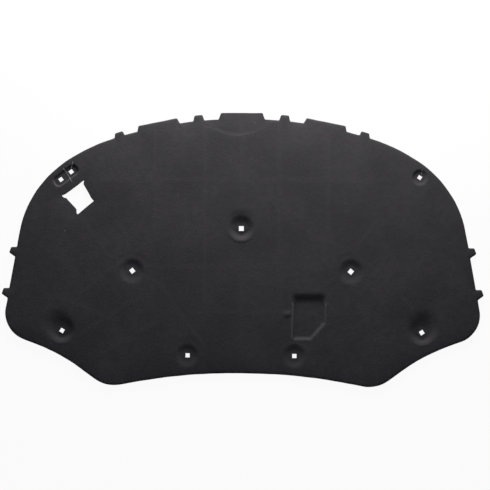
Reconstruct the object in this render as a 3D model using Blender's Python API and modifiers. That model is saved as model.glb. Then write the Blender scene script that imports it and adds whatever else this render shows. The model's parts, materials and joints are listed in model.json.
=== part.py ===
# Hood insulation pad: one moulded felt panel that clips to the underside of a car's hood.
# Metres, +Z up. The flat back, which lies against the hood, is at z = 0, and the face that
# looks at the engine is on top. +Y points to the car's front. The origin is on the back,
# on the centreline. Run with: blender --background --python part.py

import math

import bmesh
import bpy
from mathutils import Matrix, Vector
from mathutils.geometry import intersect_line_line_2d

# Section of the felt
THICKNESS = 0.010
RIM_RADIUS = 0.0028
RIM_SEGMENTS = 2

# How far an arc's chords may lie inside it, and how far a cutter runs past what it opens
CHORD_ERROR = 0.00015
OVERCUT = 0.002

# Right half of the body's outline, from the front centreline round to the rear one. It is
# a polygon whose corners are filleted, and the left half is its mirror image.
FRONT_REACH = 0.3731
REAR_REACH = 0.3538
SIDE_REACH = 0.6889
BOW_RADIUS = 1.226
BODY_CORNERS = [
    # x, y, fillet radius
    (0.1887, FRONT_REACH, BOW_RADIUS),
    (0.4346, FRONT_REACH - 0.0775, 0.520),
    (0.5514, FRONT_REACH - 0.1522, 0.320),
    (SIDE_REACH - 0.0635, 0.1141, 0.300),
    (SIDE_REACH, -0.2361, 0.080),
    (0.5179, -0.3004, 0.530),
    (0.3879, -0.3960, 0.095),
    (0.1555, -REAR_REACH, 1.544),
]

# Lands and small tabs on the front bow: X of the root's start, the tip's start, the tip's
# end and the root's end, and how far the tip stands out. All but the first are mirrored.
TAB_CORNER = 0.004
CENTRE_LAND = (-0.0658, -0.0593, 0.0593, 0.0658, 0.0180)
FRONT_LANDS = [
    (0.1073, 0.1130, 0.1346, 0.1380, 0.0165),
    (0.1773, 0.1858, 0.2957, 0.2989, 0.0158),
    (0.3362, 0.3418, 0.3629, 0.3644, 0.0130),
]

# Hooked tabs on each side: Y of their front edges, and the shape that they share
SIDE_TAB_FRONTS = [0.0050, -0.1135]
SIDE_TAB_REACH = 0.0195
SIDE_TAB_LEAN = 0.003
SIDE_TAB_TIP = 0.016
SIDE_TAB_ROOT = 0.028

# Clip seats: place, turn of the square hole in degrees, its side, and the radius and depth
# of the dish around it. The dish has a flat floor that reaches past the hole's corners.
SEAT_MARGIN = 0.005
DISH_LIP = 0.0003
DISH_STEPS = 32
DISH_RINGS = 6
CLIP_SEATS = {
    "centre": dict(at=(0.0, 0.0598), turn=0, hole=0.0148, dish=0.041, depth=0.0072, twin=False),
    "middle": dict(at=(0.3127, -0.0623), turn=-39, hole=0.0144, dish=0.041, depth=0.0052, twin=True),
    "corner": dict(at=(0.5150, -0.2350), turn=32, hole=0.0130, dish=0.045, depth=0.0072, twin=True),
    "rear": dict(at=(0.1527, -0.3038), turn=0, hole=0.0134, dish=0.039, depth=0.0042, twin=True),
    "front": dict(
        at=(0.5073, FRONT_REACH - 0.1668), turn=-32, hole=0.0122, dish=0.025, depth=0.0045, twin=False
    ),
}

# Long recess at the front left, which holds two clips side by side
TWIN_AT = (-0.5046, FRONT_REACH - 0.1629)
TWIN_TURN = 36.8
TWIN_LENGTH = 0.083
TWIN_WIDTH = 0.033
TWIN_CORNER = 0.013
TWIN_WALL = 0.004
TWIN_DEPTH = 0.0048
TWIN_HOLE = 0.0129
TWIN_SPACING = 0.0369

# Window through the pad beside that recess, with small ears at its corners: each corner's X
# and how far it lies behind the front reach
WINDOW_FILLET = 0.0012
WINDOW_CORNERS = [
    (-0.5181, 0.2204),
    (-0.5057, 0.2152),
    (-0.4556, 0.1769),
    (-0.4507, 0.1769),
    (-0.4527, 0.1873),
    (-0.4306, 0.2269),
    (-0.4228, 0.2355),
    (-0.4671, 0.2729),
    (-0.4708, 0.2741),
    (-0.4743, 0.2709),
    (-0.4752, 0.2591),
    (-0.5042, 0.2276),
    (-0.5100, 0.2270),
]

# Five-sided pocket to the right of the centreline, with sloped walls
POCKET_LEFT = 0.1470
POCKET_RIGHT = 0.2408
POCKET_FRONT = -0.1280
POCKET_REAR = -0.2571
POCKET_CHAMFER = (0.0410, 0.0460)
POCKET_CORNER = 0.004
POCKET_FRONT_WALL = 0.0160
POCKET_WALL = 0.007
POCKET_DEPTH = 0.0072

# Shallow round relief over the latch, at the front centre
LATCH_AT = (-0.0120, FRONT_REACH + 0.0719)
LATCH_RADIUS = 0.120
LATCH_WALL = 0.004
LATCH_DEPTH = 0.0012

ARC_PIECES = 4
FELT_COLOUR = (0.042, 0.040, 0.043, 1.0)
FELT_ROUGHNESS = 0.95


def clear_scene():
    for item in list(bpy.data.objects):
        bpy.data.objects.remove(item)


def new_collection(name):
    collection = bpy.data.collections.new(name)
    bpy.context.scene.collection.children.link(collection)
    return collection


def new_object(name, data, collection, at=(0.0, 0.0), turn=0.0, height=0.0):
    item = bpy.data.objects.new(name, data)
    item.location = (at[0], at[1], height)
    item.rotation_euler.z = math.radians(turn)
    collection.objects.link(item)
    return item


# Outlines are lists of corners (x, y, fillet radius) that run clockwise, seen from above.


def arc_pieces(radius, turn):
    finest = 2 * math.acos(1 - min(CHORD_ERROR / radius, 1))
    return max(2, math.ceil(abs(turn) / finest))


def fillet(start, heading, turn, radius, pieces):
    """Points of an arc that starts along a heading; a positive turn is clockwise."""
    to_centre = heading.orthogonal() * -math.copysign(radius, turn)
    points = []
    for step in range(pieces + 1):
        arm = -to_centre
        arm.rotate(Matrix.Rotation(-turn * step / pieces, 2))
        points.append(start + to_centre + arm)
    return points


def rounded(corners, pieces=None):
    """Points of an outline with its corners filleted, each fillet limited by its edges."""
    count = len(corners)
    points = [Vector(corner[:2]) for corner in corners]
    edges = [points[(i + 1) % count] - points[i] for i in range(count)]
    turns = [edges[i - 1].angle_signed(edges[i]) for i in range(count)]
    cuts = [corners[i][2] * abs(math.tan(turns[i] / 2)) for i in range(count)]
    outline = []
    for i in range(count):
        if corners[i][2] == 0 or cuts[i] < CHORD_ERROR:
            outline.append(points[i])
            continue
        before = edges[i - 1].length * cuts[i] / (cuts[i] + cuts[i - 1])
        after = edges[i].length * cuts[i] / (cuts[i] + cuts[(i + 1) % count])
        cut = min(cuts[i], before, after)
        radius = cut / abs(math.tan(turns[i] / 2))
        heading = edges[i - 1].normalized()
        steps = pieces or arc_pieces(radius, turns[i])
        outline += fillet(points[i] - heading * cut, heading, turns[i], radius, steps)
    return outline


def without_repeats(points):
    return [p for i, p in enumerate(points) if (p - points[i - 1]).length > CHORD_ERROR]


def mirrored(corners):
    return [(-corner[0], *corner[1:]) for corner in reversed(corners)]


def bow_point(x, rise=0.0):
    """Point at a given X on the front bow, or above it."""
    return Vector((x, FRONT_REACH - BOW_RADIUS + math.sqrt(BOW_RADIUS ** 2 - x ** 2) + rise))


def side_point(y, reach=0.0):
    """Point at a given Y on the right side's straight edge, or outside it."""
    front, rear = Vector(BODY_CORNERS[3][:2]), Vector(BODY_CORNERS[4][:2])
    share = (front.y - y) / (front.y - rear.y)
    return Vector((front.lerp(rear, share).x + reach, y))


def tab(root_start, tips, root_end):
    """Corners of a tab whose two flanks run on inside the body, past their roots."""
    inner_start = root_start.lerp(tips[0], -0.5)
    inner_end = root_end.lerp(tips[-1], -0.5)
    return [tuple(point) for point in (inner_start, *tips, inner_end)]


def front_land(root_start, tip_start, tip_end, root_end, rise):
    tips = (bow_point(tip_start, rise), bow_point(tip_end, rise))
    return tab(bow_point(root_start), tips, bow_point(root_end))


def side_tab(front):
    tips = (
        side_point(front, SIDE_TAB_REACH - SIDE_TAB_LEAN),
        side_point(front - SIDE_TAB_TIP, SIDE_TAB_REACH),
    )
    return tab(side_point(front), tips, side_point(front - SIDE_TAB_ROOT))


def crossing(outline, inside, outside):
    """Index of the outline's edge that a line leaves through, and the point there."""
    for i in range(len(outline) - 1):
        edge = outline[i][:2], outline[i + 1][:2]
        point = intersect_line_line_2d(inside, outside, *edge)
        if point:
            return i, point
    raise ValueError("a tab's flank misses the outline")


def with_tab(outline, corners):
    """The outline with a tab joined on, filleted at its roots and tips."""
    first, start = crossing(outline, corners[0], corners[1])
    last, end = crossing(outline, corners[-1], corners[-2])
    room = 1.5 * TAB_CORNER
    before = [c for c in outline[:first + 1] if (Vector(c[:2]) - start).length > room]
    after = [c for c in outline[last + 1:] if (Vector(c[:2]) - end).length > room]
    joined = [(x, y, TAB_CORNER) for x, y in (start, *corners[1:-1], end)]
    return before + joined + after


def pad_outline():
    body = without_repeats(rounded(mirrored(BODY_CORNERS) + BODY_CORNERS))
    outline = [(x, y, 0.0) for x, y in body]
    tabs = [front_land(*land) for land in FRONT_LANDS]
    tabs += [side_tab(front) for front in SIDE_TAB_FRONTS]
    for corners in tabs:
        outline = with_tab(outline, corners)
        outline = with_tab(outline, mirrored(corners))
    outline = with_tab(outline, front_land(*CENTRE_LAND))
    return rounded(outline)


def tidy_caps(mesh):
    """Welds a filled curve's caps to its walls and makes each cap one face."""
    work = bmesh.new()
    work.from_mesh(mesh)
    bmesh.ops.remove_doubles(work, verts=work.verts, dist=1e-5)
    bmesh.ops.dissolve_limit(
        work, angle_limit=math.radians(0.05), verts=work.verts, edges=work.edges
    )
    work.to_mesh(mesh)
    work.free()


def prism(name, points, bottom, top, collection):
    """Upright prism on an outline, made from a filled 2D curve."""
    curve = bpy.data.curves.new(name, "CURVE")
    curve.dimensions = "2D"
    curve.fill_mode = "BOTH"
    curve.extrude = (top - bottom) / 2
    spline = curve.splines.new("POLY")
    spline.points.add(len(points) - 1)
    for spot, point in zip(spline.points, points):
        spot.co = (point.x, point.y, 0.0, 1.0)
    spline.use_cyclic_u = True
    drawn = new_object(name + " curve", curve, collection, height=(top + bottom) / 2)
    depsgraph = bpy.context.evaluated_depsgraph_get()
    mesh = bpy.data.meshes.new_from_object(drawn.evaluated_get(depsgraph))
    tidy_caps(mesh)
    solid = new_object(name, mesh, collection)
    solid.matrix_world = drawn.matrix_world
    bpy.data.objects.remove(drawn)
    return solid


def felt_material():
    material = bpy.data.materials.new("felt")
    material.use_nodes = True
    shader = material.node_tree.nodes["Principled BSDF"]
    shader.inputs["Base Color"].default_value = FELT_COLOUR
    shader.inputs["Roughness"].default_value = FELT_ROUGHNESS
    shader.inputs["Metallic"].default_value = 0.0
    return material


def make_pad(collection):
    pad = prism("insulation_pad", pad_outline(), 0.0, THICKNESS, collection)
    pad.data.materials.append(felt_material())
    rim = pad.modifiers.new("rim", "BEVEL")
    rim.width = min(RIM_RADIUS, 0.8 * TAB_CORNER)
    rim.segments = RIM_SEGMENTS
    rim.limit_method = "ANGLE"
    rim.angle_limit = math.radians(60)
    rim.use_clamp_overlap = False
    return pad


def hole_cutter(name, side, at, turn, collection):
    """Square hole, right through the pad."""
    work = bmesh.new()
    size = Matrix.Diagonal((side, side, THICKNESS + 2 * OVERCUT, 1.0))
    bmesh.ops.create_cube(work, size=1.0, matrix=size)
    mesh = bpy.data.meshes.new(name)
    work.to_mesh(mesh)
    work.free()
    return new_object(name, mesh, collection, at, turn, THICKNESS / 2)


def dish_profile(radius, floor_radius, depth):
    """Half section of a dish, from the axis above the pad down to the axis at its floor."""
    top = THICKNESS + OVERCUT
    lip = THICKNESS + DISH_LIP
    floor = THICKNESS - depth
    wall = []
    for ring in range(DISH_RINGS + 1):
        share = ring / DISH_RINGS
        ease = (1 - math.cos(math.pi * share)) / 2
        wall.append((radius + (floor_radius - radius) * share, lip + (floor - lip) * ease))
    return [(0.0, top), (radius, top), *wall, (0.0, floor)]


def dish_cutter(name, profile, at, collection):
    mesh = bpy.data.meshes.new(name)
    edges = [(i, i + 1) for i in range(len(profile) - 1)]
    mesh.from_pydata([(x, 0.0, z) for x, z in profile], edges, [])
    dish = new_object(name, mesh, collection, at)
    screw = dish.modifiers.new("turned", "SCREW")
    screw.steps = DISH_STEPS
    screw.render_steps = DISH_STEPS
    screw.use_merge_vertices = True
    screw.merge_threshold = 1e-5
    return dish


def inset(corners, widths):
    """Corners of a clockwise polygon with each edge moved in by its own width."""
    points = [Vector(corner[:2]) for corner in corners]
    moved = []
    for i, point in enumerate(points):
        ahead = points[(i + 1) % len(points)] - point
        behind = point - points[i - 1]
        inward = [-behind.normalized().orthogonal(), -ahead.normalized().orthogonal()]
        shift = Matrix(inward).inverted() @ Vector((widths[i - 1], widths[i]))
        moved.append((*(point + shift), corners[i][2]))
    return moved


def recess_cutter(name, corners, walls, depth, collection, at=(0.0, 0.0), turn=0.0):
    """Recess with sloped walls: a loft from its floor to its mouth above the face."""
    beyond = OVERCUT / depth
    sections = [
        (THICKNESS - depth, rounded(inset(corners, walls), ARC_PIECES)),
        (THICKNESS + OVERCUT, rounded(inset(corners, [-beyond * wall for wall in walls]), ARC_PIECES)),
    ]
    work = bmesh.new()
    low, high = [[work.verts.new((*point, z)) for point in points] for z, points in sections]
    for i in range(len(low)):
        work.faces.new((low[i - 1], low[i], high[i], high[i - 1]))
    work.faces.new(low)
    work.faces.new(high)
    bmesh.ops.recalc_face_normals(work, faces=work.faces)
    mesh = bpy.data.meshes.new(name)
    work.to_mesh(mesh)
    work.free()
    return new_object(name, mesh, collection, at, turn)


def latch_cutter(collection):
    """Shallow cone over the latch, which runs out over the centre land."""
    height = LATCH_DEPTH + OVERCUT
    floor_radius = LATCH_RADIUS - LATCH_WALL
    work = bmesh.new()
    bmesh.ops.create_cone(
        work,
        cap_ends=True,
        segments=arc_pieces(LATCH_RADIUS, 2 * math.pi),
        radius1=floor_radius,
        radius2=floor_radius + LATCH_WALL * height / LATCH_DEPTH,
        depth=height,
    )
    mesh = bpy.data.meshes.new("latch relief")
    work.to_mesh(mesh)
    work.free()
    middle = THICKNESS - LATCH_DEPTH + height / 2
    return new_object("latch relief", mesh, collection, LATCH_AT, height=middle)


def clip_cutters(collection):
    cutters = []
    for name, seat in CLIP_SEATS.items():
        floor_radius = seat["hole"] / math.sqrt(2) + SEAT_MARGIN
        profile = dish_profile(seat["dish"], floor_radius, seat["depth"])
        for side in (1, -1) if seat["twin"] else (1,):
            at = (side * seat["at"][0], seat["at"][1])
            label = f"{name} {side}"
            cutters.append(dish_cutter(label + " dish", profile, at, collection))
            turn = side * seat["turn"]
            cutters.append(hole_cutter(label + " hole", seat["hole"], at, turn, collection))
    return cutters


def twin_cutters(collection):
    half_length, half_width = TWIN_LENGTH / 2, TWIN_WIDTH / 2
    corners = [
        (-half_length, half_width, TWIN_CORNER),
        (half_length, half_width, TWIN_CORNER),
        (half_length, -half_width, TWIN_CORNER),
        (-half_length, -half_width, TWIN_CORNER),
    ]
    walls = [TWIN_WALL] * len(corners)
    cutters = [recess_cutter("twin recess", corners, walls, TWIN_DEPTH, collection, TWIN_AT, TWIN_TURN)]
    along = Matrix.Rotation(math.radians(TWIN_TURN), 2) @ Vector((TWIN_SPACING / 2, 0.0))
    for side in (1, -1):
        at = Vector(TWIN_AT) + side * along
        cutters.append(hole_cutter(f"twin hole {side}", TWIN_HOLE, at, TWIN_TURN, collection))
    return cutters


def pocket_cutter(collection):
    corners = [
        (POCKET_LEFT, POCKET_FRONT, POCKET_CORNER),
        (POCKET_RIGHT, POCKET_FRONT, POCKET_CORNER),
        (POCKET_RIGHT, POCKET_REAR + POCKET_CHAMFER[1], POCKET_CORNER),
        (POCKET_RIGHT - POCKET_CHAMFER[0], POCKET_REAR, POCKET_CORNER),
        (POCKET_LEFT, POCKET_REAR, POCKET_CORNER),
    ]
    walls = [POCKET_FRONT_WALL] + [POCKET_WALL] * (len(corners) - 1)
    return recess_cutter("pocket", corners, walls, POCKET_DEPTH, collection)


def window_cutter(collection):
    points = rounded([(x, FRONT_REACH - behind, WINDOW_FILLET) for x, behind in WINDOW_CORNERS])
    return prism("window", points, -OVERCUT, THICKNESS + OVERCUT, collection)


def cut(pad, cutters):
    for cutter in cutters:
        cutter.hide_render = True
        cutter.display_type = "WIRE"
        step = pad.modifiers.new(cutter.name, "BOOLEAN")
        step.operation = "DIFFERENCE"
        step.object = cutter
        step.solver = "EXACT"


def main():
    clear_scene()
    pad = make_pad(new_collection("hood insulation pad"))
    tools = new_collection("cutters")
    cutters = clip_cutters(tools) + twin_cutters(tools)
    cutters += [pocket_cutter(tools), latch_cutter(tools), window_cutter(tools)]
    cut(pad, cutters)


main()
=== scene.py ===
import json
import math

import bmesh
import bpy
import numpy as np
from mathutils import Matrix, Vector, noise
from mathutils.bvhtree import BVHTree


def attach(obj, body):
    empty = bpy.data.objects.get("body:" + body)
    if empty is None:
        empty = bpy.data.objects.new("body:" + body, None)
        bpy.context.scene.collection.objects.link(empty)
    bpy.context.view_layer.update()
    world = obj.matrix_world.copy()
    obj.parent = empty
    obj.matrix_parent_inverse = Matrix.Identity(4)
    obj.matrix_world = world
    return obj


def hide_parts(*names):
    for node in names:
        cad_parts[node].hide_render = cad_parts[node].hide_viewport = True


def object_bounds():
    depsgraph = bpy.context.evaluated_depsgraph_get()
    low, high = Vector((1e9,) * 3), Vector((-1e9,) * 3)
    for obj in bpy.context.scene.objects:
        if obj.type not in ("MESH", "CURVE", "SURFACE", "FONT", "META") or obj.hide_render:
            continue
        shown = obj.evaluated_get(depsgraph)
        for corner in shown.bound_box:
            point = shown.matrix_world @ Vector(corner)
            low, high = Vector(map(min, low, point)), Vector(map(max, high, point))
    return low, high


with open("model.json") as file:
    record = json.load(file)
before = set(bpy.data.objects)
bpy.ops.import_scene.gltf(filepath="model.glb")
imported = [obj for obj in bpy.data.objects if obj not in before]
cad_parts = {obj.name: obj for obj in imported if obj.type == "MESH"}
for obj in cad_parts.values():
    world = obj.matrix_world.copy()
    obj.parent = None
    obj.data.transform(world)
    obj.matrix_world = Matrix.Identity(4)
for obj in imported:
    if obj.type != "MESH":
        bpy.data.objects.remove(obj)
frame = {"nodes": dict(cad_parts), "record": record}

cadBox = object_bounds()

# Without a seed of its own, noise_vector starts from the clock and each run differs
wanderSeed = 5
noise.seed_set(wanderSeed)

# The pad lies on its back and the camera looks down on it. A place read from the photograph is
# given in its pixels, and spot() turns it into metres on the pad's face.
photo = {
    "pixel": 0.00286,
    "centreline": 241.24,    # the pixel column of the pad's x = 0
    "middle": 249.45,        # the pixel row of its y = 0
}


def spot(x, y):
    return Vector((x - photo["centreline"], photo["middle"] - y)) * photo["pixel"]


def route(*pixels):
    places = [spot(*pixel) for pixel in pixels]
    return list(zip(places, places[1:]))


class Wire:
    # A socket that takes Python's operators: each one adds a Math node
    def __init__(self, tree, socket=None):
        self.tree = tree
        self.socket = socket

    def node(self, kind, settings, inputs, output=0):
        made = self.tree.nodes.new(kind)
        for name, value in settings.items():
            setattr(made, name, value)
        for name, value in inputs.items():
            if isinstance(value, Wire):
                self.tree.links.new(value.socket, made.inputs[name])
            else:
                made.inputs[name].default_value = value
        return Wire(self.tree, made.outputs[output] if made.outputs else None)

    def maths(self, operation, *values):
        return self.node("ShaderNodeMath", {"operation": operation}, dict(enumerate(values)))

    def __add__(self, other):
        return self.maths("ADD", self, other)

    def __radd__(self, other):
        return self.maths("ADD", other, self)

    def __sub__(self, other):
        return self.maths("SUBTRACT", self, other)

    def __rsub__(self, other):
        return self.maths("SUBTRACT", other, self)

    def __mul__(self, other):
        return self.maths("MULTIPLY", self, other)

    def __rmul__(self, other):
        return self.maths("MULTIPLY", other, self)

    def step(self, low, high):
        limits = {"Value": self, "From Min": low, "From Max": high}
        return self.node("ShaderNodeMapRange", {"interpolation_type": "SMOOTHSTEP"}, limits)

    def tint(self, first, second):
        return self.node("ShaderNodeMix", {"data_type": "RGBA"}, {0: self, 6: first, 7: second}, 2)


def newMaterial(name):
    material = bpy.data.materials.new(name)
    material.use_nodes = True
    return material, Wire(material.node_tree), material.node_tree.nodes["Principled BSDF"]


def finish(name, bm, look):
    mesh = bpy.data.meshes.new(name)
    bm.to_mesh(mesh)
    bm.free()
    mesh.materials.append(look)
    piece = bpy.data.objects.new(name, mesh)
    bpy.context.scene.collection.objects.link(piece)
    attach(piece, "root")
    print(f"{name}: {len(mesh.polygons)} faces")
    return piece


pad = {
    "cell": 0.0225,          # first cut, three grids wide
    "grid": 0.0075,          # spacing of the points all over it
    "fineGrid": 0.0025,      # and where the face is pressed
    "weld": 0.00001,         # the CAD's own points are joined within this
    "flat": 0.4,             # degrees, below which its faces are one
    "closest": 0.00025,      # no two points end up nearer than this
    "cutSnap": 0.00002,
    "backHeight": 0.0005,    # what lies lower belongs to the back
    "faceTilt": 0.1,         # a face turned up more than this is on the top
    "pointTilt": 0.35,       # and so is a point
    "crease": 50.0,          # degrees, above which an edge stays sharp
    "plump": 0.0005,         # how far the fibres stand out at a cut edge
    "plumpDepth": 0.004,
    "plumpHeight": 0.002,
    "thinning": 0.0026,      # the felt is thinner at its cut edge
    "thinReach": 0.028,
    "edgeHeight": 0.004,
    "swell": 0.00028,        # low swells of the face
    "swellScale": 9.0,
    "swellPlace": 2.7,
    "swellLevels": 3,
    "wander": 0.0006,        # how far the cut edge wanders
    "wanderScale": 32.0,
    "wanderReach": 0.006,
    "leastWander": 0.02,
    "leastThickness": 0.0012,
}

# The rear corners were cut less cleanly, in small steps
flanks = {
    "wander": 0.0015,
    "scale": 80.0,
    "places": [(spot(86, 338), 0.075), (spot(400, 336), 0.075)],
}

# The face sinks softly round a dish, more towards the front, or has risen in it: how far the
# middle of that lies from the clip hole, its reach, how far it sinks, and how much steeper the
# dish's rear wall is
shoulders = {
    "centre_dish": ((-0.002, 0.014), 0.046, 0.0034, 0.0026),
    "middle_left_dish": ((0.0, 0.002), 0.048, -0.0017, 0.0),
    "middle_right_dish": ((0.0, 0.002), 0.048, -0.0016, 0.0),
    "corner_left_dish": ((-0.012, 0.019), 0.052, 0.0050, 0.0023),
    "corner_right_dish": ((0.003, 0.020), 0.054, 0.0050, 0.0023),
    "rear_left_dish": ((0.0, 0.002), 0.046, -0.0015, 0.0),
    "rear_right_dish": ((0.0, 0.003), 0.046, -0.0010, 0.0),
}

# Rings round a clip hole, each a distance and half a width. A steeper rear wall is lower at its
# foot and higher at its head, and the rim's front is worn down.
dishRings = {
    "foot": (0.018, 0.011),
    "head": (0.034, 0.010),
    "headShare": 0.6,
    "rim": (0.041, 0.018),
    "rimDrop": 0.0004,
}

# Faint broad lines that the mould's ribs left in the face
ribLines = {
    "halfWidth": 0.0090,
    "height": 0.00012,
    "routes": [
        route((205, 127), (205, 312)),
        route((279, 127), (279, 305)),
        route((242, 127), (242, 205)),
        route((242, 267), (242, 352)),
        route((155, 130), (155, 235)),
        route((327, 137), (327, 235)),
        route((100, 180), (387, 180)),
        route((145, 267), (312, 267)),
        route((195, 312), (288, 312)),
        route((190, 225), (147, 244), (110, 270), (75, 300), (62, 330)),
        route((82, 220), (107, 255), (160, 285), (185, 320), (207, 350)),
        route((307, 232), (350, 250), (370, 265), (400, 295), (410, 305), (422, 333)),
        route((375, 222), (357, 245)),
        route((337, 275), (317, 292)),
        route((80, 335), (140, 297)),
        route((100, 355), (157, 322)),
        route((55, 297), (107, 317)),
    ],
}

# Narrow raised folds, sunk ones, edges rubbed pale and painted highlights: the route, half the
# width, the height, and how pale the fibres are made, which on walls that face the lamp is painted
# highlight
folds = {
    "acrossRecess": (
        route((62.4, 169.2), (66.2, 174.4), (69.0, 179.0), (70.6, 182.4)), 0.0017, 0.0009, 1.0,
    ),
    "aboveRecessHole": (route((71.9, 162.8), (70.2, 168.2)), 0.0019, 0.0034, 1.0),
    # Painted highlight: a pale line on the recess's lower wall, where it faces the lamp
    "recessWall": (
        route((53.0, 181.5), (55.0, 185.8), (58.2, 187.0), (62.0, 185.4), (68.6, 180.9),
              (75.8, 174.8), (78.3, 171.2)),
        0.0017, 0.0, 0.22,
    ),
    "aboveRightHole": (route((420.8, 169.8), (420.4, 174.4)), 0.0016, 0.0008, 0.9),
    # Painted highlight: pale lines on the pocket's side walls, paler on the left wall, which faces the
    # lamp more
    "pocketLeft": (route((292.9, 303.5), (291.9, 337.5)), 0.0034, 0.0, 0.24),
    "pocketRight": (route((325.6, 304.0), (325.3, 322.0)), 0.0030, 0.0, 0.15),
    # A slightly raised fold, made pale as painted highlight where the latch recess's wall faces the
    # lamp
    "latchFront": (
        route((233, 135.0), (239, 136.0), (248, 134.2), (253, 132.0)), 0.0016, 0.0003, 0.06,
    ),
    "latchLeft": (
        route((204, 125.4), (214, 128.2), (224, 132.0), (233, 135.0)), 0.0022, -0.0003, 0.0,
    ),
    "latchRight": (route((253, 132.0), (257, 129.8), (262, 126.0)), 0.0018, -0.0002, 0.0),
    "latchWrinkle": (route((218, 128.0), (226, 130.4), (233, 132.6)), 0.0024, -0.0003, 0.0),
    "besideNotch": (route((178.3, 122.8), (182.4, 128.2)), 0.0020, 0.0004, 0.0),
}
foldCuts = {
    "rows": (-1, -0.5, 0, 0.5, 1),    # rows of points across a fold, in half widths
    "reach": 4,
}

# Small soft lumps: the place, the radius and the height
lumps = {
    "besidePocket": (spot(288.6, 313.4), 0.0130, 0.0014),
    "besideThat": (spot(285.6, 314.6), 0.0150, 0.0011),
}

# Where the face is pressed, its points lie closer. A dish and a lump have a reach and a radius
# that rounds the edges there. The others run from one opening to another.
pressed = {
    "dish": (0.060, 0.0050),
    "lump": (1.3, 0.0020),            # this reach is in the lump's own radii
    "spans": [
        ("front_left_clip_hole_rear", "front_left_clip_hole_front", 0.034, 0.0014),
        ("front_right_clip_hole", "front_right_clip_hole", 0.034, 0.0026),
        ("pocket_rear", "pocket_front", 0.010, 0.0020),
    ],
    "rings": ((0.5, 6), (1.0, 10)),   # where a rounded point looks round it, and how often
}

# Walls that are rounder than the others: the strip where they lie, and their radius
roundWalls = {
    "pocketFront": (spot(286, 306), spot(329, 289), 0.0080),
    "latchRelief": (spot(200, 141), spot(266, 119), 0.0050),
}
roundWallFade = 0.012

openings = {o["name"]: o["box_m"] for o in frame["record"]["physics"]["openings"]}


def middleOf(name):
    low, high = openings[name]
    return (Vector(low) + Vector(high)).xy / 2


holes = [middleOf(name) for name in openings if "clip_hole" in name]
holeReach = 0.014
dishes = {name: middleOf(name) for name in shoulders}


def nearestOn(points, segments):
    nearest = np.full(len(points), np.inf)
    for start, end in segments:
        begin, along = np.array(start), np.array(end - start)
        share = np.clip((points - begin) @ along / (along @ along), 0, 1)
        gap = points - begin - share[:, None] * along
        nearest = np.minimum(nearest, np.hypot(gap[:, 0], gap[:, 1]))
    return nearest


def farFrom(points, place):
    return np.hypot(*(points - np.array(place)).T)


def hump(distance, reach):
    return np.where(distance < reach, 0.5 + 0.5 * np.cos(np.pi * np.minimum(distance / reach, 1)), 0)


def ring(far, place, halfWidth):
    return hump(abs(far - place), halfWidth)


def within(points, low, high):
    return ((points > np.array(low)) & (points < np.array(high))).all(1)


def cutAcross(bm, faces, place, across):
    # The parts keep their order, so that each run gives the same mesh
    parts = dict.fromkeys(part for face in faces for part in (*face.verts, *face.edges))
    made = bmesh.ops.bisect_plane(
        bm, geom=[*parts, *faces], dist=pad["cutSnap"], plane_co=place, plane_no=across
    )
    return [part for part in made["geom"] if isinstance(part, bmesh.types.BMFace)]


def gridCut(bm, faces, low, high, step):
    # Each plane cuts only what lies beyond the one before it
    for axis in (0, 1):
        across = Vector((1 - axis, axis, 0))
        rest, cut = faces, []
        for k in range(math.ceil(low[axis] / step), math.floor(high[axis] / step) + 1):
            made = cutAcross(bm, rest, across * k * step, across)
            rest = []
            for face in made:
                beyond = face.calc_center_median()[axis] > k * step
                (rest if beyond else cut).append(face)
        faces = cut + rest


def inWindow(face, window):
    low, high = window[:2]
    place = face.calc_center_median()
    inside = low.x < place.x < high.x and low.y < place.y < high.y
    return inside and face.normal.z > pad["faceTilt"]


def fineWindows():
    # The pressed places: low and high corners on the cells, and the radius that rounds the edges
    dishReach, dishRadius = pressed["dish"]
    lumpReach, lumpRadius = pressed["lump"]
    places = [(centre, centre, dishReach, dishRadius) for centre in dishes.values()]
    for centre, radius, height in lumps.values():
        places.append((centre, centre, lumpReach * radius, lumpRadius))
    for first, last, reach, rounding in pressed["spans"]:
        corners = [Vector(corner) for name in (first, last) for corner in openings[name]]
        low = Vector((min(c.x for c in corners), min(c.y for c in corners)))
        high = Vector((max(c.x for c in corners), max(c.y for c in corners)))
        places.append((low, high, reach, rounding))
    cell = pad["cell"]
    return [
        (
            Vector([cell * math.floor((value - reach) / cell) for value in low]),
            Vector([cell * math.ceil((value + reach) / cell) for value in high]),
            rounding,
        )
        for low, high, reach, rounding in places
    ]


def foldCut(bm, segments, halfWidth):
    # Rows of points along a fold, so that it runs smoothly across the grid
    for start, end in segments:
        along = (end - start).normalized()
        across = Vector((-along.y, along.x, 0))
        middle, half = (start + end) / 2, (end - start).length / 2
        faces = []
        for face in bm.faces:
            off = face.calc_center_median().xy - middle
            if face.normal.z > pad["faceTilt"] and abs(off.dot(along)) < half + halfWidth:
                if abs(off.dot(across.xy)) < foldCuts["reach"] * halfWidth:
                    faces.append(face)
        for row in foldCuts["rows"]:
            faces = cutAcross(bm, faces, start.to_3d() + across * halfWidth * row, across)


def cutFelt(bm, windows):
    # Pressed places come before the rest of the grid, because a cut in a small mesh is quick
    bmesh.ops.dissolve_limit(
        bm, angle_limit=math.radians(pad["flat"]), verts=bm.verts, edges=bm.edges
    )
    gridCut(bm, bm.faces[:], *cadBox, pad["cell"])
    for window in windows:
        gridCut(bm, [f for f in bm.faces if inWindow(f, window)], *window[:2], pad["fineGrid"])
    print("felt pad: pressed places cut,", len(bm.faces), "faces")
    rest = [f for f in bm.faces if not any(inWindow(f, window) for window in windows)]
    gridCut(bm, rest, *cadBox, pad["grid"])
    print("felt pad: grid cut,", len(bm.faces), "faces")
    for segments, halfWidth, height, wearAndHighlight in folds.values():
        foldCut(bm, segments, halfWidth)
    bmesh.ops.remove_doubles(bm, verts=bm.verts, dist=pad["closest"])
    bm.normal_update()


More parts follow.
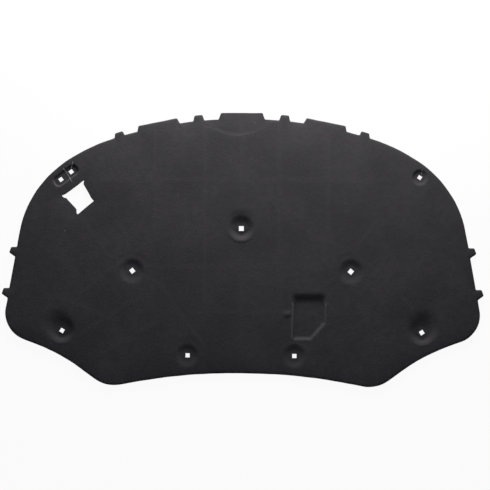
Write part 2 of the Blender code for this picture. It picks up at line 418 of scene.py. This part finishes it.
def edgeTree(bm, withHoles):
    # The pad's cut walls, with or without those of the clip holes
    verts = [v.co.copy() for v in bm.verts]
    bm.verts.index_update()
    walls = []
    for face in bm.faces:
        place = face.calc_center_median().xy
        ofHole = min((place - hole).length for hole in holes) < holeReach
        if abs(face.normal.z) < pad["faceTilt"] and (withHoles or not ofHole):
            walls.append([v.index for v in face.verts])
    return BVHTree.FromPolygons(verts, walls)


def topHeight(tree, x, y):
    hit = tree.ray_cast(Vector((x, y, 0.1)), Vector((0, 0, -1)))[0]
    return hit.z if hit else 0.0


def softened(tree, place, radius):
    # Mean height of the face around a point; what lies past an edge counts as the point's own
    own, total, count = place.z, place.z, 1
    for share, samples in pressed["rings"]:
        for k in range(samples):
            angle = 2 * math.pi * (k + share) / samples
            x = place.x + radius * share * math.cos(angle)
            y = place.y + radius * share * math.sin(angle)
            height = topHeight(tree, x, y)
            total += height if height > pad["backHeight"] else own
            count += 1
    return total / count


def roundingRise(cadTree, points, heights, facing, windows):
    # What the rounding of edges and walls lifts or lowers the face by
    rounding = np.zeros(len(points))
    for low, high, radius in windows:
        rounding = np.where(within(points, low, high), radius, rounding)
    for low, high, radius in roundWalls.values():
        share = np.clip((points[:, 1] - low.y) / roundWallFade, 0, 1)
        inside = within(points, low, high)
        rounding = np.where(inside, np.maximum(rounding, radius * share), rounding)
    rise = np.zeros(len(points))
    for i in np.flatnonzero(facing & (rounding > 0)):
        rise[i] = softened(cadTree, Vector((*points[i], heights[i])), rounding[i]) - heights[i]
    return rise


def dishRise(points, thickness, facing):
    rise = np.zeros(len(points))
    for name, (shift, reach, drop, lean) in shoulders.items():
        off = points - np.array(dishes[name])
        rise -= drop * hump(farFrom(off, shift), reach) * thickness
        far = farFrom(off, (0, 0))
        forward = off[:, 1] / far * facing
        steeper = dishRings["headShare"] * ring(far, *dishRings["head"]) - ring(far, *dishRings["foot"])
        rise += lean * steeper * np.maximum(-forward, 0)
        rise -= dishRings["rimDrop"] * ring(far, *dishRings["rim"]) * np.maximum(forward, 0)
    return rise


def swellRise(points):
    scale, place, levels = pad["swellScale"], pad["swellPlace"], pad["swellLevels"]
    swells = [noise.fractal((x * scale, y * scale, place), 1.0, 2.0, levels) for x, y in points]
    return pad["swell"] * np.array(swells)


def moveEdges(verts, points, edge, cuts):
    # The fibres stand out at a cut, and the cut itself wanders
    torn = np.zeros(len(verts))
    for centre, radius in flanks["places"]:
        torn = np.maximum(torn, hump(farFrom(points, centre), radius))
    near = np.exp(-edge / pad["wanderReach"])
    for i, vert in enumerate(verts):
        wall, outward, index, gap = cuts.find_nearest(Vector((*points[i], pad["plumpHeight"])))
        if gap < pad["plumpDepth"]:
            vert.co.xy += outward.xy * pad["plump"] * (1 - gap / pad["plumpDepth"])
        if near[i] < pad["leastWander"]:
            continue
        place = Vector((*points[i], 0))
        even = noise.noise_vector(place * pad["wanderScale"]) * pad["wander"]
        steps = noise.noise_vector(place * flanks["scale"]) * flanks["wander"] * torn[i]
        vert.co.xy += (even + steps).xy * near[i]


def makePad():
    bm = bmesh.new()
    bm.from_mesh(frame["nodes"]["insulation_pad"].data)
    bmesh.ops.remove_doubles(bm, verts=bm.verts, dist=pad["weld"])
    bm.normal_update()
    cadTree = BVHTree.FromBMesh(bm)
    walls, cuts = edgeTree(bm, False), edgeTree(bm, True)
    windows = fineWindows()
    cutFelt(bm, windows)

    ribLayer = bm.verts.layers.float.new("ribs")
    paleLayer = bm.verts.layers.float.new("pale")
    verts = list(bm.verts)
    points = np.array([v.co.xy for v in verts])
    heights = np.array([v.co.z for v in verts])
    thickness = heights / cadBox[1].z
    upper = heights > pad["backHeight"]
    facing = np.array([v.normal.z > pad["pointTilt"] for v in verts]) & upper
    edge = np.array([walls.find_nearest(Vector((x, y, pad["edgeHeight"])))[3] for x, y in points])

    rise = roundingRise(cadTree, points, heights, facing, windows)
    rise -= pad["thinning"] * np.exp(-edge / pad["thinReach"]) * thickness
    rise += dishRise(points, thickness, facing) + swellRise(points)
    ribs = np.zeros(len(verts))
    for segments in ribLines["routes"]:
        ribs = np.maximum(ribs, hump(nearestOn(points, segments), ribLines["halfWidth"]))
    rise += ribLines["height"] * ribs
    paleness = np.zeros(len(verts))
    for segments, halfWidth, height, wearAndHighlight in folds.values():
        fold = hump(nearestOn(points, segments), halfWidth)
        rise += height * fold
        # Paleness of fibres rubbed by wear, and painted highlight on the walls that face the lamp
        paleness = np.maximum(paleness, wearAndHighlight * fold * facing)
    for centre, radius, height in lumps.values():
        rise += height * hump(farFrom(points, centre), radius)
    for i in np.flatnonzero(upper):
        verts[i].co.z = max(heights[i] + rise[i], min(pad["leastThickness"], heights[i]))
    moveEdges(verts, points, edge, cuts)
    print("felt pad: face and edges shaped")

    for vert, rib, pale in zip(verts, ribs, paleness):
        vert[ribLayer] = rib
        vert[paleLayer] = pale
    bmesh.ops.triangulate(bm, faces=bm.faces)
    for face in bm.faces:
        face.smooth = True
    bm.normal_update()
    crease = math.radians(pad["crease"])
    for line in bm.edges:
        line.smooth = len(line.link_faces) == 2 and line.calc_face_angle() < crease
    piece = finish("feltPad", bm, feltLook())
    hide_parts("insulation_pad")
    return piece


felt = {
    "dark": (0.0325, 0.0300, 0.0335, 1),
    "light": (0.0435, 0.0405, 0.0440, 1),
    "cool": (0.0285, 0.0308, 0.0325, 1),
    "coolShare": 0.55,
    "rib": (0.0440, 0.0415, 0.0450, 1),
    "ribShare": 0.45,
    "fibre": (0.0600, 0.0575, 0.0600, 1),
    "fibreShare": 0.45,
    # Pale fibres from wear, and painted highlight on the recess, pocket and latch walls
    "wearAndHighlight": (0.1900, 0.1850, 0.1800, 1),
    "patches": 7.0,          # noise scales, per metre
    "mottle": 60.0,
    "grain": 420.0,
    "strand": 900.0,
    "strandTurns": (28, -47),    # degrees
    "strandStretch": 0.16,
    "detail": 3.0,
    "relief": 0.75,
    "reliefDepth": 0.0010,
    "roughness": 0.95,
    "gloss": 0.04,
    "sheen": 0.04,
    "sheenRoughness": 0.6,
}


def feltLook():
    material, w, shader = newMaterial("needledFelt")
    place = w.node("ShaderNodeTexCoord", {}, {}, 3)

    def cloud(scale):
        inputs = {"Vector": place, "Scale": scale, "Detail": felt["detail"]}
        return w.node("ShaderNodeTexNoise", {}, inputs)

    def strands(turn):
        turned = w.node("ShaderNodeMapping", {}, {
            "Vector": place,
            "Rotation": (0, 0, math.radians(turn)),
            "Scale": (1, felt["strandStretch"], 1),
        })
        inputs = {"Vector": turned, "Scale": felt["strand"], "Detail": 2.0, "Distortion": 0.6}
        return w.node("ShaderNodeTexNoise", {}, inputs)

    patches = cloud(felt["patches"]).step(0.30, 0.70)
    mottle = cloud(felt["mottle"]).step(0.25, 0.75)
    grain = cloud(felt["grain"])
    fibres = w.maths("MAXIMUM", *(strands(turn) for turn in felt["strandTurns"]))
    ribs = w.node("ShaderNodeAttribute", {"attribute_name": "ribs"}, {}, 2)
    pale = w.node("ShaderNodeAttribute", {"attribute_name": "pale"}, {}, 2)
    colour = patches.tint(felt["dark"], felt["light"])
    colour = (mottle * felt["coolShare"]).tint(colour, felt["cool"])
    colour = (ribs * felt["ribShare"]).tint(colour, felt["rib"])
    colour = (fibres.step(0.58, 0.74) * felt["fibreShare"]).tint(colour, felt["fibre"])
    # Pale fibres from wear, and painted highlight on the lit recess, pocket and latch walls
    colour = pale.tint(colour, felt["wearAndHighlight"])
    relief = fibres * 0.6 + grain * 0.5 + mottle * 0.25
    bump = w.node("ShaderNodeBump", {}, {
        "Strength": felt["relief"], "Distance": felt["reliefDepth"], "Height": relief,
    })
    w.tree.links.new(colour.socket, shader.inputs["Base Color"])
    w.tree.links.new(bump.socket, shader.inputs["Normal"])
    shader.inputs["Roughness"].default_value = felt["roughness"]
    shader.inputs["Specular IOR Level"].default_value = felt["gloss"]
    shader.inputs["Sheen Weight"].default_value = felt["sheen"]
    shader.inputs["Sheen Roughness"].default_value = felt["sheenRoughness"]
    return material


# Lint that has settled on the felt: each speck's pixel column and row, and its size
lint = {
    "specks": [
        (64.4, 231.7, 1.0),
        (143, 201, 0.55),
        (177, 197, 0.5),
        (345, 203.5, 0.5),
        (371, 184, 0.5),
        (254, 123, 0.75),
        (373, 288, 0.55),
        (354, 285, 0.45),
    ],
    "length": 0.0036,
    "width": 0.0019,
    "height": 0.0010,
    "turn": 1.9,             # radians from one speck to the next
    "ragged": 0.0004,
    "raggedScale": 900,
    "colour": (0.20, 0.19, 0.17, 1),
    "paler": 1.3,
    "fuzz": 1500.0,
    "roughness": 0.95,
}


def makeLint(carrier):
    tree = BVHTree.FromObject(carrier, bpy.context.evaluated_depsgraph_get())
    bm = bmesh.new()
    for k, (column, row, size) in enumerate(lint["specks"]):
        x, y = spot(column, row)
        height = topHeight(tree, x, y)
        made = bmesh.ops.create_icosphere(bm, subdivisions=2, radius=0.5)
        shape = Matrix.Diagonal((lint["length"] * size, lint["width"] * size, lint["height"]))
        turn = Matrix.Rotation(lint["turn"] * k, 3, "Z")
        bmesh.ops.transform(bm, verts=made["verts"], matrix=(turn @ shape).to_4x4())
        for vert in made["verts"]:
            place = vert.co * lint["raggedScale"] + Vector((k, 0, 0))
            vert.co += noise.noise_vector(place) * lint["ragged"]
        bmesh.ops.translate(bm, verts=made["verts"], vec=(x, y, height))
    for face in bm.faces:
        face.smooth = True
    return finish("lintSpecks", bm, lintLook())


def lintLook():
    material, w, shader = newMaterial("lint")
    place = w.node("ShaderNodeTexCoord", {}, {}, 3)
    fuzz = w.node("ShaderNodeTexNoise", {}, {"Vector": place, "Scale": lint["fuzz"], "Detail": 2.0})
    pale = tuple(value * lint["paler"] for value in lint["colour"][:3]) + (1,)
    colour = fuzz.step(0.35, 0.65).tint(lint["colour"], pale)
    bump = w.node("ShaderNodeBump", {}, {"Strength": 0.5, "Distance": 0.0003, "Height": fuzz})
    w.tree.links.new(colour.socket, shader.inputs["Base Color"])
    w.tree.links.new(bump.socket, shader.inputs["Normal"])
    shader.inputs["Roughness"].default_value = lint["roughness"]
    return material


studio = {
    "floorSize": 8.0,
    "floorHeight": -0.0006,
    "floorColour": (0.82, 0.82, 0.81, 1),
    "floorGlow": 0.94,       # share of the floor's white that the camera sees without shadow
    "fill": 0.18,
    "fillColour": (0.90, 0.94, 1.10, 1),
    "keyPlace": (0.12, 1.27, 0.38),
    "keyAim": (0.0, 0.05, 0.0),
    "keySize": (1.30, 0.45),
    "keyPower": 45.0,
    "keyColour": (1.0, 0.985, 0.955),
    "white": (1, 1, 1, 1),
}


def makeFloor():
    bm = bmesh.new()
    bmesh.ops.create_grid(bm, x_segments=1, y_segments=1, size=studio["floorSize"] / 2)
    bmesh.ops.translate(bm, verts=bm.verts, vec=(0, 0, studio["floorHeight"]))
    mesh = bpy.data.meshes.new("floor")
    bm.to_mesh(mesh)
    bm.free()
    floor = bpy.data.objects.new("floor", mesh)
    bpy.context.scene.collection.objects.link(floor)
    material = bpy.data.materials.new("paleFloor")
    material.use_nodes = True
    material.node_tree.nodes.clear()
    w = Wire(material.node_tree)
    seen = w.node("ShaderNodeLightPath", {}, {}, "Is Camera Ray")
    diffuse = w.node("ShaderNodeBsdfDiffuse", {}, {"Color": studio["floorColour"]})
    glow = w.node("ShaderNodeEmission", {}, {"Strength": 1.0})
    mixed = w.node("ShaderNodeMixShader", {}, {0: seen * studio["floorGlow"], 1: diffuse, 2: glow})
    w.node("ShaderNodeOutputMaterial", {}, {"Surface": mixed})
    mesh.materials.append(material)


def makeWorld():
    # White wherever the camera or a reflection looks past the floor, and a soft fill elsewhere
    world = bpy.data.worlds.new("studio")
    bpy.context.scene.world = world
    world.use_nodes = True
    world.node_tree.nodes.clear()
    w = Wire(world.node_tree)
    seen = w.node("ShaderNodeLightPath", {}, {}, "Is Camera Ray")
    glossy = w.node("ShaderNodeLightPath", {}, {}, "Is Glossy Ray")
    passed = w.node("ShaderNodeLightPath", {}, {}, "Is Transmission Ray")
    direct = w.maths("MAXIMUM", w.maths("MAXIMUM", seen, glossy), passed)
    fill = w.node("ShaderNodeBackground", {}, {
        "Color": studio["fillColour"], "Strength": studio["fill"],
    })
    white = w.node("ShaderNodeBackground", {}, {"Color": studio["white"], "Strength": 1.0})
    mixed = w.node("ShaderNodeMixShader", {}, {0: direct, 1: fill, 2: white})
    w.node("ShaderNodeOutputWorld", {}, {"Surface": mixed})


def makeLamp():
    # One long low lamp in front of the pad
    key = bpy.data.lights.new("key", "AREA")
    key.shape = "RECTANGLE"
    key.size, key.size_y = studio["keySize"]
    key.energy = studio["keyPower"]
    key.color = studio["keyColour"]
    lamp = bpy.data.objects.new("key", key)
    bpy.context.scene.collection.objects.link(lamp)
    place = Vector(studio["keyPlace"])
    lamp.location = place
    lamp.rotation_euler = (place - Vector(studio["keyAim"])).to_track_quat("Z", "Y").to_euler()


# The photograph was taken from straight above the pad, a little to its right
view = {
    "distance": 3.0,
    "aim": (0.0108, 0.0127, 0.010),
    "yaw": 1.68,             # degrees
    "roll": 0.204,
    "width": 1.3980,         # metres across the frame at the pad's face
    "sensor": 36.0,
}


def makeCamera():
    data = bpy.data.cameras.new("camera")
    data.sensor_width = view["sensor"]
    data.lens = view["sensor"] * view["distance"] / view["width"]
    camera = bpy.data.objects.new("camera", data)
    bpy.context.scene.collection.objects.link(camera)
    turn = Matrix.Rotation(math.radians(view["roll"]), 4, "Z")
    turn = turn @ Matrix.Rotation(math.radians(view["yaw"]), 4, "Y")
    away = turn @ Vector((0, 0, view["distance"]))
    camera.matrix_world = Matrix.Translation(Vector(view["aim"]) + away) @ turn
    bpy.context.scene.camera = camera


makeCamera()
makeFloor()
makeWorld()
makeLamp()
bpy.context.scene.view_settings.view_transform = "Standard"
print("studio: done")
makeLint(makePad())
